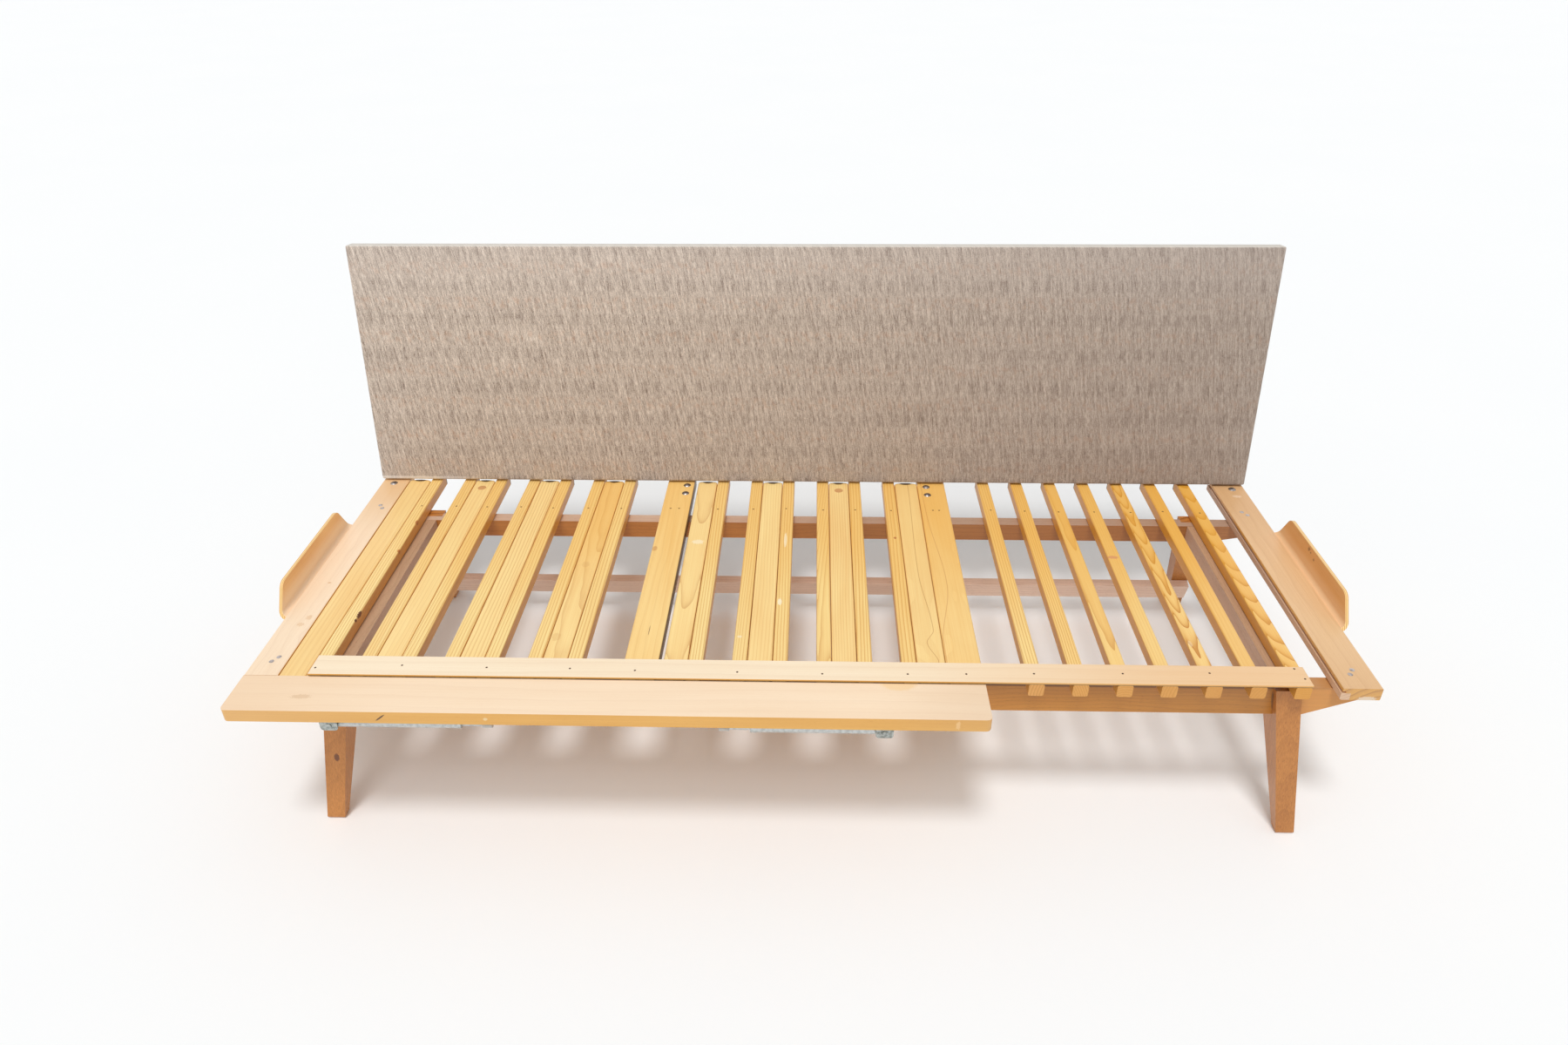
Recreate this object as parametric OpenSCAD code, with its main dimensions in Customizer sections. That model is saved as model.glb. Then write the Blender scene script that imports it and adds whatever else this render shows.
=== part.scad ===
// Slatted sofa-bed base on four splayed legs, with a leaning upholstered back,
// a pull-out comb of wide slats behind a front board, and two folding steel legs.
// Millimetres. Origin on the floor under the middle of the whole, +X right, +Y back, +Z up.

/* [Deck] */
// Width of the slatted deck
deck_w = 1900; // [1800:10:2100]
// Length of the fixed slats, front to back
deck_l = 701; // [640:1:760]
// Height of the deck's top above the floor
deck_h = 305; // [280:1:360]
// Thickness of slats and boards
board_t = 24; // [20:1:28]
// Width of a fixed slat
slat_w = 26; // [22:0.5:32]
// Rounding of the slats' long edges
slat_round = 3.5; // [1:0.5:6]
// Width of a slot that a pull-out slat runs in
slot_w = 44; // [40:0.5:52]
// Width of the slot beside the left side board
edge_slot_w = 48; // [44:0.5:54]
// Width of the slots beside the two support boards
board_slot_w = 50; // [44:0.5:54]
// Part of such a slot that stays open beside the left support board
board_slot_open = 7; // [0:0.5:10]
// Open gap between slat pairs in the left bay
left_gap = 48.5; // [36:0.5:52]
// Open gap between the first fixed slat and the next pair
first_gap = 49; // [34:0.5:52]
// Open gap between slat pairs in the middle bay
middle_gap = 49; // [40:0.5:52]
// Gap between the left bay and the left support board
left_board_gap = 72; // [50:1:80]
// Gap between the right support board and the right bay
right_board_gap = 72; // [50:1:80]
// Gap between the last fixed slat and the strip under the right side board
right_end_gap = 48.5; // [30:0.5:70]
// Width of the two support boards
support_w = 60; // [50:1:70]

/* [Side boards] */
// Width of the left side board
left_board_w = 58; // [54:1:70]
// Width of the right side board
right_board_w = 65; // [58:1:72]
// Width of the raw strip let in under that board's inner edge
tongue_w = 16; // [12:0.5:20]
// How far the strip stands out past that edge
tongue_out = 1.5; // [0.5:0.5:3]
// Height of the strip
tongue_t = 14; // [10:0.5:15]
// Height of the groove between the strip and the board's nose
groove_h = 4; // [2:0.5:5]
// Depth of that groove
groove_d = 6; // [3:0.5:10]

/* [Strip over the slat ends] */
// Depth of the strip
strip_d = 49.5; // [35:0.5:60]
// Thickness of the strip
strip_t = 4.5; // [3:0.5:8]
// How far the strip ends inside the first fixed slat's outer edge
strip_left_in = 4; // [0:1:8]
// How far the strip reaches past the last fixed slat
strip_right_over = 1; // [0:1:6]

/* [Rails] */
// Thickness of front and rear rail
rail_t = 28; // [24:1:34]
// Height of the front rail
front_rail_h = 58; // [50:1:70]
// Height of the rear rail
rear_rail_h = 38; // [32:1:50]
// Front face of the front rail, behind the slat ends
front_rail_y = 29; // [15:1:60]
// Front face of the rear rail, ahead of the slats' rear ends
rear_rail_in = 155; // [135:1:190]
// How far a rail's end stays inside the deck's edge
rail_end_inset = 8; // [2:1:20]
// Length of the taper at a rail's end
rail_taper_l = 94; // [70:1:110]
// Height left at the tapered end
rail_end_h = 21; // [14:1:28]
// Thickness of the cross rails
cross_t = 30; // [24:1:36]
// Height of the cross rails
cross_h = 56; // [46:1:58]
// Inner face of a cross rail, from the deck's side edge
cross_inset = 154; // [146:1:160]
// Length of the step cut under a cross rail's rear end
cross_step_l = 60; // [30:1:90]
// Length of the cross rails' stub tenons
tenon_l = 10; // [6:1:11]
// Height of those tenons
tenon_h = 24; // [16:1:30]
// Thickness of those tenons
tenon_t = 10; // [6:1:14]

/* [Wooden legs] */
// Inner faces of the legs' tops, from the deck's side edges
leg_inset = 162; // [150:1:175]
// Width of a leg at its top
leg_top_w = 43; // [36:1:50]
// Width of a leg at its foot
leg_foot_w = 32; // [24:1:38]
// How far the foot stands outside the top
leg_splay = 44; // [20:1:55]
// How far a front foot stands ahead of its top
front_rake = 53; // [20:1:70]
// How far the front leg's top stands proud of the rail
front_proud = 9; // [4:1:14]
// Depth of a front leg under the rail
front_leg_d = 67; // [50:1:76]
// Depth of a front leg at its foot
front_foot_d = 20; // [16:1:32]
// How far a rear foot stands behind its top
rear_rake = 103; // [60:1:120]
// Front of a rear leg's top, behind the rear rail's front face
rear_leg_back = 3; // [0:1:10]
// Depth of a rear leg at its top
rear_leg_d = 38; // [32:1:46]
// Depth of a rear leg at its foot
rear_foot_d = 32; // [22:1:36]
// Depth of the housing that a leg is let into the rail
lap_d = 12; // [6:1:13]
// Rounding of the feet
foot_round = 4; // [1:0.5:8]
// Height of the rear stretcher's middle above the floor
stretcher_z = 75; // [50:1:120]
// Height of the rear stretcher board
stretcher_h = 44; // [30:1:60]
// Thickness of the rear stretcher board
stretcher_t = 18; // [12:1:24]

/* [Side lips] */
// Thickness of the moulded side lips
lip_t = 6; // [5:0.5:8]
// Inner radius of the lip's bend
lip_bend = 10; // [8:1:16]
// Rise of a lip above the deck
lip_rise = 49; // [30:1:70]
// Depth of a lip's flange in the edge of the side board
lip_flange = 18; // [10:1:22]
// Wood left over that flange
lip_cover = 4; // [3:0.5:6]
// Length of a lip at its flange
lip_base_l = 330; // [280:1:360]
// Length of a lip along its top edge
lip_top_l = 274; // [200:1:280]
// Middle of a lip, behind the slat ends
lip_mid_y = 331; // [300:1:350]
// Rounding of the lip's top corners
lip_corner = 22; // [8:1:30]

/* [Back] */
// How far the back panel stands out past the deck on each side
back_over = 2; // [0:1:10]
// Height of the back panel along its face
back_l = 510; // [400:1:600]
// Thickness of the back panel
back_t = 34; // [28:1:50]
// Lean of the back panel, in degrees
back_lean = 8.4; // [0:0.1:15]
// Front of the panel's lower edge, ahead of the slats' rear ends
back_in = 29; // [26:1:31]
// Rounding of the panel's edges
back_round = 4; // [2:0.5:10]
// Gap between the panel's lower edge and the deck
back_clear = 0.3; // [0.1:0.1:3]
// Thickness of the cover cloth
cover_t = 1.5; // [1:0.1:2.5]
// Thickness of the plywood in the panel
back_board_t = 12; // [9:1:18]
// Width of a back bracket
bracket_w = 30; // [24:1:36]
// Thickness of a back bracket
bracket_t = 4; // [3:0.5:6]
// Length of a bracket's upright on the panel
bracket_up = 190; // [120:1:300]
// Front end of a bracket's flange, ahead of the slats' rear ends
bracket_in = 93; // [88:1:100]
// Bracket under the left support board, from the board's left edge
left_bracket_in = 44; // [36:1:48]
// Bracket under the right support board, from the board's left edge
right_bracket_in = 19; // [16:1:30]
// Outer brackets, from the deck's side edges
outer_bracket_in = 27; // [20:1:30]

/* [Fasteners] */
// Shank of a cup-head bolt
bolt_d = 6; // [5:0.5:8]
// Head of a cup-head bolt
bolt_head_d = 16; // [12:0.5:18]
// Height of that head
bolt_head_h = 3.4; // [2:0.2:5]
// Rear bolts, ahead of the slats' rear ends
bolt_rear_in = 38; // [38:1:46]
// Front bolts, ahead of the slats' rear ends
bolt_front_in = 73; // [62:1:81]
// Diameter of a bolt's washer
washer_d = 14; // [11:0.5:18]
// Thickness of that washer
washer_t = 1.5; // [1:0.1:2.5]
// Width of a bolt's nut across its flats
nut_w = 10; // [8.5:0.5:13]
// Height of that nut
nut_t = 5; // [4:0.5:8]
// Length of bolt that stands out under its nut
bolt_tail = 2; // [0:0.5:6]
// Shank of a side board screw
screw_d = 4; // [3:0.5:5]
// Head of a side board screw
screw_head_d = 8.5; // [7:0.5:10]
// Length of a side board screw
screw_l = 38; // [30:1:42]
// Middle of a pair of those screws, from the deck's side edge
screw_in = 35; // [26:1:40]
// Sideways spacing of a pair of those screws
screw_dx = 8; // [6:1:14]
// Front to back spacing of a pair of those screws
screw_dy = 12; // [6:1:16]
// Clearance of a hole round its shank
hole_clear = 0.3; // [0.1:0.1:0.6]

/* [Pull-out comb] */
// Depth of the front board
front_board_d = 88; // [70:1:120]
// Rounding of the front board's front corners
front_corner = 9; // [3:1:20]
// How far the pull-out slats end ahead of the slats' rear ends
pull_end_in = 20; // [16:1:60]
// Side clearance of a pull-out slat in its slot
pull_side_clear = 0.6; // [0.3:0.1:1.5]
// Running clearance of a pull-out slat over the rails
pull_run_clear = 0.3; // [0.2:0.1:0.6]
// Clearance of a pull-out slat under the strip
pull_top_clear = 0.6; // [0.3:0.1:1.5]
// Radius of the rounded rear end of a pull-out slat
pull_end_r = 55; // [30:1:80]
// Gap behind the front board when it is pushed home
front_board_gap = 0.3; // [0.2:0.1:1]
// Length of the slats' tenons in the front board
pull_tenon_l = 22; // [12:1:40]
// Thickness of those tenons
pull_tenon_t = 10; // [6:1:14]
// Shoulder beside such a tenon
pull_shoulder = 6; // [3:1:10]
// Clearance of tenons and plugs in the wood, all round
glue_clear = 0.1; // [0.05:0.05:0.3]
// Diameter of the round plugs in two slats
plug_d = 18; // [12:1:24]
// Depth of those plugs
plug_t = 12; // [6:1:20]
// Middle of a plug, ahead of its slat's rear end
plug_in = 35; // [16:1:60]

/* [Folding legs] */
// Pivot of a folding leg, from the end of the front board
pivot_inset = 170; // [120:1:260]
// Pivot of a folding leg, behind the front board's edge
pivot_y = 15; // [14:1:40]
// Diameter of the steel tube
tube_d = 15; // [12:0.5:18]
// Wall of the steel tube
tube_wall = 1.5; // [1:0.1:2.5]
// Length of the tube, from its pivot
tube_l = 218; // [160:1:230]
// Thickness of the hinge bracket's sheet
hinge_t = 2; // [1.5:0.1:3]
// Width of the hinge bracket along the board
hinge_w = 29; // [24:1:40]
// Sheet left under the hinge pin
hinge_edge = 10; // [7:0.5:14]
// Gap between the tube and its bracket
hinge_gap = 0.5; // [0.3:0.1:1.5]
// Diameter of the hinge pin
pin_d = 6; // [4:0.5:8]
// Diameter of the pin's heads
pin_head_d = 10; // [9:0.5:12]
// Thickness of the pin's heads
pin_head_t = 1.6; // [1:0.1:2.4]
// Length of tube left behind the pin's hole
tube_end = 2.5; // [1.5:0.5:4]
// Running clearance of the tube on its pin, all round
pin_clear = 0.08; // [0.02:0.01:0.1]
// Diameter of the adjusting rod
rod_d = 8; // [6:0.5:10]
// Length of rod inside the tube
rod_in_tube = 30; // [15:1:60]
// Length of rod inside the rubber tip
rod_in_tip = 11; // [5:0.5:20]
// Diameter of the collar on the tube's end
collar_d = 16; // [15.5:0.5:18]
// Length of that collar
collar_l = 10; // [6:1:16]
// Diameter of the rubber tip
tip_d = 12; // [11:0.5:14]
// Length of the rubber tip
tip_l = 16; // [10:1:24]
// Gap between the rubber tip and the floor when the leg is down
tip_clear = 0.5; // [0.3:0.1:3]

/* [Hidden] */
$fn = 48;
// Steps of a rounded corner, an even number so that an arc has a point at its middle
ARC = 6;
EPS = 0.01;
board_z = deck_h - board_t;
half_w = deck_w / 2;
rear_rail_y = deck_l - rear_rail_in;
rear_rail_end_y = rear_rail_y + rail_t;
pull_slat_l = deck_l - pull_end_in;
plug_y = pull_slat_l - plug_in;
back_w = deck_w + 2 * back_over;
back_y = deck_l - back_in;

// Left edges of the fixed slats, from the middle of the deck
pair = slat_w + slot_w + slat_w;
left_bay_x = -half_w + left_board_w + edge_slot_w + slat_w + first_gap;
left_board_x = left_bay_x + 3 * pair + 2 * left_gap + left_board_gap;
middle_bay_x = left_board_x + support_w + board_slot_w;
right_board_x = middle_bay_x + slat_w + 2 * (middle_gap + pair) + middle_gap + slat_w
    + board_slot_w;
right_bay_x = right_board_x + support_w + right_board_gap;
right_side_x = half_w - right_board_w;
tongue_x = right_side_x - tongue_out;
// The slats of the right bay share out the width that is left beside that strip
RIGHT_SLATS = 7;
right_pitch = (tongue_x - right_end_gap - slat_w - right_bay_x) / (RIGHT_SLATS - 1);
SLAT_X = concat(
    [-half_w + left_board_w + edge_slot_w],
    [for (i = [0:2], j = [0, 1]) left_bay_x + i * (pair + left_gap) + j * (slat_w + slot_w)],
    [middle_bay_x],
    [for (i = [0, 1], j = [0, 1])
        middle_bay_x + slat_w + middle_gap + i * (pair + middle_gap) + j * (slat_w + slot_w)],
    [right_board_x - board_slot_w - slat_w],
    [for (i = [0:RIGHT_SLATS - 1]) right_bay_x + i * right_pitch]);
// Left edge and width of the slots for the pull-out slats
SLOTS = concat(
    [[-half_w + left_board_w, edge_slot_w]],
    [for (i = [0:2]) [left_bay_x + i * (pair + left_gap) + slat_w, slot_w]],
    [[left_board_x + support_w + board_slot_open, board_slot_w - board_slot_open]],
    [for (i = [0, 1])
        [middle_bay_x + slat_w + middle_gap + i * (pair + middle_gap) + slat_w, slot_w]],
    [[right_board_x - board_slot_w, board_slot_w]]);
PLUGGED = [1, 6];

front_board_x0 = -half_w;
front_board_x1 = right_board_x + support_w;

// Back panel: place of its front lower edge, and the line of its rear face
back_z = deck_h + back_clear + (back_t - back_round) * sin(back_lean)
    + back_round * (1 - cos(back_lean));
function behind_back(z) =
    back_y + back_t * cos(back_lean) + (z - back_z + back_t * sin(back_lean)) * tan(back_lean);
// The whole is centred front to back between the front board and the panel's top
back_rear_y = back_y + back_round + (back_t - back_round) * cos(back_lean)
    + (back_l - back_round) * sin(back_lean);
mid_y = (back_rear_y - front_board_gap - front_board_d) / 2;

// Legs: face positions as straight lines between the top and the foot
leg_x0 = half_w - leg_inset;
cross_x0 = half_w - cross_inset;
front_top_y = front_rail_y - front_proud;
front_shoulder_z = board_z - front_rail_h;
rear_shoulder_z = board_z - rear_rail_h;
rear_top_y = rear_rail_y + rear_leg_back;
rear_slope = rear_rake / board_z;
rear_tilt = atan(rear_slope);
function front_face_y(z) = front_top_y - front_rake * (board_z - z) / board_z;
function rear_face_y(z) = rear_top_y + rear_slope * (board_z - z);

pull_z = board_z + pull_run_clear;
pull_t = board_t - pull_run_clear - pull_top_clear;
tube_back = pin_d / 2 + tube_end;
pivot_drop = hinge_t + hinge_gap + sqrt(tube_d * tube_d / 4 + tube_back * tube_back);
hinge_drop = pivot_drop + hinge_edge;
pivot_z = board_z - pivot_drop;
pivot_yc = -front_board_gap - front_board_d + pivot_y;
PIVOTS = [front_board_x0 + pivot_inset, front_board_x1 - pivot_inset];
leg_reach = pivot_z - tip_clear;

function slat_name(i) = str("fixed_slat_", i < 10 ? "0" : "", i);

// Points of an arc, centre c, from angle a0 to a1
function arc(c, r, a0, a1) =
    [for (k = [0:ARC]) c + r * [cos(a0 + (a1 - a0) * k / ARC), sin(a0 + (a1 - a0) * k / ARC)]];

// Outline of a rectangle w by h from the origin, with all corners rounded
function rounded(w, h, r) = concat(
    arc([r, r], r, 180, 270), arc([w - r, r], r, 270, 360),
    arc([w - r, h - r], r, 0, 90), arc([r, h - r], r, 90, 180));

// Moves the deck's own frame, whose Y starts at the slat ends, to the part's frame
module placed() { translate([0, -mid_y, 0]) children(); }

// Extrudes an outline drawn in X and Z towards +Y, from y0 over l
module along_y(y0, l) {
    translate([0, y0 + l, 0]) rotate([90, 0, 0]) linear_extrude(l) children();
}

// Extrudes an outline drawn in Y and Z towards +X, from x0 over l
module along_x(x0, l) {
    translate([x0, 0, 0]) rotate([90, 0, 90]) linear_extrude(l) children();
}

// Front view of a right leg, wide at the top, splayed and tapered to the foot
module leg_front_view() {
    x0 = leg_x0 + leg_splay;
    x1 = x0 + leg_foot_w;
    r = foot_round;
    inner_lean = atan(leg_splay / board_z);
    outer_lean = atan((x1 - leg_x0 - leg_top_w) / board_z);
    polygon(concat(
        [[leg_x0, board_z]],
        arc([x0 + r, r], r, 180 + inner_lean, 270),
        arc([x1 - r, r], r, 270, 360 + outer_lean),
        [[leg_x0 + leg_top_w, board_z]]));
}

// Side view of a front leg, halved over the rail and shouldered under it
module front_leg_side_view() {
    foot_y = front_top_y - front_rake;
    r = foot_round;
    back_top_y = front_face_y(front_shoulder_z) + front_leg_d;
    front_lean = atan(front_rake / board_z);
    rear_lean = atan((back_top_y - foot_y - front_foot_d) / front_shoulder_z);
    polygon(concat(
        [[front_top_y, board_z]],
        arc([foot_y + r, r], r, 180 - front_lean, 270),
        arc([foot_y + front_foot_d - r, r], r, 270, 360 - rear_lean),
        [[back_top_y, front_shoulder_z],
         [front_rail_y + lap_d, front_shoulder_z],
         [front_rail_y + lap_d, board_z]]));
}

// Side view of a rear leg, halved over the back of the rear rail
module rear_leg_side_view() {
    foot_y = rear_top_y + rear_rake;
    r = foot_round;
    lap_y = rear_rail_end_y - lap_d;
    rear_lean = atan((rear_rake + rear_foot_d - rear_leg_d) / board_z);
    polygon(concat(
        [[lap_y, board_z], [lap_y, rear_shoulder_z],
         [max(lap_y, rear_face_y(rear_shoulder_z)), rear_shoulder_z]],
        arc([foot_y + r, r], r, 180 + rear_tilt, 270),
        arc([foot_y + rear_foot_d - r, r], r, 270, 360 + rear_lean),
        [[rear_top_y + rear_leg_d, board_z]]));
}

module right_front_leg_shape() {
    reach = front_leg_d + front_rake + front_proud + rail_t;
    intersection() {
        along_y(-reach, 2 * reach + front_rail_y) leg_front_view();
        along_x(leg_x0 - leg_splay, leg_top_w + 3 * leg_splay) front_leg_side_view();
    }
}

module right_rear_leg_shape() {
    intersection() {
        along_y(rear_rail_y - rail_t, rail_t * 2 + rear_rake + rear_leg_d + rear_foot_d)
            leg_front_view();
        along_x(leg_x0 - leg_splay, leg_top_w + 3 * leg_splay) rear_leg_side_view();
    }
}

// Outline of a rail from the front: straight top, ends tapered up from below
module rail_view(h) {
    end_x = half_w - rail_end_inset;
    z1 = board_z;
    polygon([
        [-end_x, z1], [-end_x, z1 - rail_end_h], [-end_x + rail_taper_l, z1 - h],
        [end_x - rail_taper_l, z1 - h], [end_x, z1 - rail_end_h], [end_x, z1]]);
}

// A cross rail's tenon, with its length l along Y
module cross_tenon(y0, l) {
    translate([cross_x0 + (cross_t - tenon_t) / 2, y0, board_z - (rear_rail_h + tenon_h) / 2])
        cube([tenon_t, l, tenon_h]);
}

// Screws that hold the side boards: plan places, two askew over each rail
function screw_places(x) = concat(
    [for (s = [-1, 1]) [x + s * screw_dx / 2, front_rail_y + (rail_t + s * screw_dy) / 2]],
    [for (s = [-1, 1]) [x + s * screw_dx / 2, rear_rail_y + (rail_t - s * screw_dy) / 2]]);
SCREWS = concat(screw_places(-half_w + screw_in), screw_places(half_w - screw_in));
screw_cone_h = (screw_head_d - screw_d) / 2;

// A countersunk screw, its head flush with the deck, grown by c for its hole
module screw_shape(c) {
    rotate_extrude() polygon([
        [0, deck_h - screw_l - c], [screw_d / 2 + c, deck_h - screw_l - c],
        [screw_d / 2 + c, deck_h - screw_cone_h], [screw_head_d / 2 + c, deck_h], [0, deck_h]]);
}

module screw_holes() {
    for (p = SCREWS) translate([p[0], p[1], 0]) {
        screw_shape(hole_clear);
        translate([0, 0, deck_h - EPS]) cylinder(h = 1, d = screw_head_d + 2 * hole_clear);
    }
}

// Brackets of the back: one under each support board, one under each side board
INNER_BRACKETS = [left_board_x + left_bracket_in, right_board_x + right_bracket_in];
OUTER_BRACKETS = [-half_w + outer_bracket_in, half_w - outer_bracket_in];
// Their cup-head bolts: two on each support board, one on each side board
BOLTS = concat(
    [for (x = INNER_BRACKETS, y = [bolt_front_in, bolt_rear_in]) [x, deck_l - y]],
    [for (x = OUTER_BRACKETS) [x, deck_l - bolt_rear_in]]);
module bolt_holes() {
    for (p = BOLTS) translate([p[0], p[1], board_z - bracket_t - 1])
        cylinder(h = board_t + bracket_t + 2, d = bolt_d + 2 * hole_clear);
}

module front_rail() {
    color("peru") placed() difference() {
        along_y(front_rail_y, rail_t) rail_view(front_rail_h);
        for (s = [0, 1]) mirror([s, 0, 0]) {
            intersection() {
                along_y(front_rail_y - 1, lap_d + 1) leg_front_view();
                translate([0, 0, front_shoulder_z - 1]) cube([half_w, rear_rail_y, front_rail_h + 2]);
            }
            cross_tenon(front_rail_y + rail_t - tenon_l, tenon_l);
        }
        screw_holes();
    }
}

module rear_rail() {
    color("peru") placed() difference() {
        along_y(rear_rail_y, rail_t) rail_view(rear_rail_h);
        for (s = [0, 1]) mirror([s, 0, 0]) {
            intersection() {
                along_y(rear_rail_end_y - lap_d, lap_d + 1) leg_front_view();
                translate([0, 0, rear_shoulder_z - 1]) cube([half_w, deck_l, rear_rail_h + 2]);
            }
            cross_tenon(rear_rail_y, tenon_l);
        }
        screw_holes();
    }
}

// The cross rail: full height at the front, stepped to the rear rail's height behind
module right_cross_rail_shape() {
    y0 = front_rail_y + rail_t;
    z0 = board_z - cross_h;
    z1 = board_z - rear_rail_h;
    difference() {
        union() {
            along_x(cross_x0, cross_t) polygon([
                [y0, board_z], [y0, z0], [rear_rail_y - cross_step_l - (z1 - z0), z0],
                [rear_rail_y - cross_step_l, z1], [rear_rail_y, z1], [rear_rail_y, board_z]]);
            cross_tenon(y0 - tenon_l, rear_rail_y - y0 + 2 * tenon_l);
        }
        right_front_leg_shape();
    }
}

module left_cross_rail() { color("peru") placed() mirror([1, 0, 0]) right_cross_rail_shape(); }
module right_cross_rail() { color("peru") placed() right_cross_rail_shape(); }
module left_front_leg() { color("peru") placed() mirror([1, 0, 0]) right_front_leg_shape(); }
module right_front_leg() { color("peru") placed() right_front_leg_shape(); }
module left_rear_leg() { color("peru") placed() mirror([1, 0, 0]) right_rear_leg_shape(); }
module right_rear_leg() { color("peru") placed() right_rear_leg_shape(); }

// Flat board along the raked front faces of the rear legs
module rear_stretcher() {
    length = 2 * (leg_x0 + leg_splay * (board_z - stretcher_z) / board_z + leg_foot_w);
    color("tan") placed()
        translate([-length / 2, rear_face_y(stretcher_z), stretcher_z])
        rotate([rear_tilt, 0, 0]) translate([0, -stretcher_t, -stretcher_h / 2])
            cube([length, stretcher_t, stretcher_h]);
}

// A fixed slat, nailed over both rails
module fixed_slat(i) {
    color("goldenrod") placed()
        translate([SLAT_X[i], 0, board_z]) along_y(0, deck_l)
            polygon(rounded(slat_w, board_t, slat_round));
}

module support_board(x) {
    color("goldenrod") placed() difference() {
        translate([x, 0, board_z]) along_y(0, deck_l)
            polygon(rounded(support_w, board_t, slat_round));
        bolt_holes();
    }
}
module left_support_board() { support_board(left_board_x); }
module right_support_board() { support_board(right_board_x); }

module left_side_board() {
    color("burlywood") placed() difference() {
        translate([-half_w, 0, board_z]) along_y(0, deck_l)
            polygon(rounded(left_board_w, board_t, slat_round / 2));
        bolt_holes();
        screw_holes();
        mirror([1, 0, 0]) right_side_lip_shape();
    }
}

// The right side board: a nose and a groove along its inner edge, over the let-in strip
module right_side_board() {
    w = right_board_w;
    r = slat_round / 2;
    step = tongue_w - tongue_out;
    nose_z = tongue_t + groove_h;
    color("burlywood") placed() difference() {
        translate([right_side_x, 0, board_z]) along_y(0, deck_l) polygon(concat(
            [[step, 0]], arc([w - r, r], r, 270, 360), arc([w - r, board_t - r], r, 0, 90),
            arc([r, board_t - r], r, 90, 180),
            [[0, nose_z], [groove_d, nose_z], [groove_d, tongue_t], [step, tongue_t]]));
        bolt_holes();
        screw_holes();
        right_side_lip_shape();
    }
}

// Raw strip let in under the right side board, where a second piece docks
module right_board_tongue() {
    r = slat_round;
    color("tan") placed() translate([tongue_x, 0, board_z]) along_y(0, deck_l)
        polygon(concat(
            arc([r, r], r, 180, 270), [[tongue_w, 0], [tongue_w, tongue_t], [0, tongue_t]]));
}

// Thin strip nailed over the front ends of all the fixed slats
module slat_end_strip() {
    x0 = SLAT_X[0] + strip_left_in;
    x1 = SLAT_X[len(SLAT_X) - 1] + slat_w + strip_right_over;
    color("bisque") placed() translate([x0, 0, deck_h]) cube([x1 - x0, strip_d, strip_t]);
}

// Moulded plywood lip: a flange let into the side board's edge that bends up outside it
module right_side_lip_shape() {
    z1 = deck_h - lip_cover;
    z0 = z1 - lip_t;
    x1 = half_w + lip_bend;
    top = deck_h + lip_rise;
    r = lip_corner;
    half_base = lip_base_l / 2;
    half_top = lip_top_l / 2;
    lean = atan((half_base - half_top) / (top - z0));
    intersection() {
        along_y(lip_mid_y - half_base, lip_base_l) polygon(concat(
            [[half_w - lip_flange, z0]],
            arc([half_w, z1 + lip_bend], lip_bend + lip_t, 270, 360),
            [[x1 + lip_t, top], [x1, top]],
            arc([half_w, z1 + lip_bend], lip_bend, 360, 270),
            [[half_w - lip_flange, z1]]));
        along_x(half_w - lip_flange, lip_flange + lip_bend + lip_t) translate([lip_mid_y, 0])
            polygon(concat(
                [[-half_base, z0 - EPS], [half_base, z0 - EPS]],
                arc([half_top - r, top - r], r, lean, 90),
                arc([-half_top + r, top - r], r, 90, 180 - lean)));
    }
}
module left_side_lip() { color("sandybrown") placed() mirror([1, 0, 0]) right_side_lip_shape(); }
module right_side_lip() { color("sandybrown") placed() right_side_lip_shape(); }

module side_board_screws() {
    color("silver") placed() for (p = SCREWS) translate([p[0], p[1], 0]) screw_shape(0);
}

// Cup head, shank through board and bracket, washer and nut under it
module carriage_bolts() {
    head_r = (bolt_head_d * bolt_head_d / 4 + bolt_head_h * bolt_head_h) / (2 * bolt_head_h);
    low = board_z - bracket_t;
    end_z = low - washer_t - nut_t - bolt_tail;
    color("silver") placed() for (p = BOLTS) translate([p[0], p[1], 0]) {
        translate([0, 0, deck_h]) rotate_extrude() intersection() {
            translate([0, bolt_head_h - head_r]) circle(head_r, $fn = 96);
            square([bolt_head_d / 2, bolt_head_h]);
        }
        translate([0, 0, end_z]) cylinder(h = deck_h + bolt_head_h / 2 - end_z, d = bolt_d);
        translate([0, 0, low - washer_t]) cylinder(h = washer_t, d = washer_d);
        translate([0, 0, low - washer_t - nut_t]) cylinder(h = nut_t, d = nut_w / cos(30), $fn = 6);
    }
}

// Steel angle: a flange under the board, bent up behind it along the leaning panel
module back_brackets() {
    z1 = board_z;
    z0 = board_z - bracket_t;
    up = bracket_t / cos(back_lean);
    top = z1 + bracket_up;
    color("silver") placed() difference() {
        for (x = concat(INNER_BRACKETS, OUTER_BRACKETS))
            along_x(x - bracket_w / 2, bracket_w) polygon([
                [deck_l - bracket_in, z0], [behind_back(z0) + up, z0],
                [behind_back(top) + up, top], [behind_back(top), top],
                [behind_back(z1), z1], [deck_l - bracket_in, z1]]);
        bolt_holes();
    }
}

// Places a shape drawn with the panel's thickness along Y and its height along Z
module on_back() {
    translate([0, back_y, back_z]) rotate([-back_lean, 0, 0]) children();
}

// Plywood at the back of the panel, foam on its front, cloth round both
module back_filling() {
    m = cover_t;
    along_x(-back_w / 2 + m, back_w - 2 * m) translate([m, m])
        polygon(rounded(back_t - 2 * m, back_l - 2 * m, back_round - m / 2));
}

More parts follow.
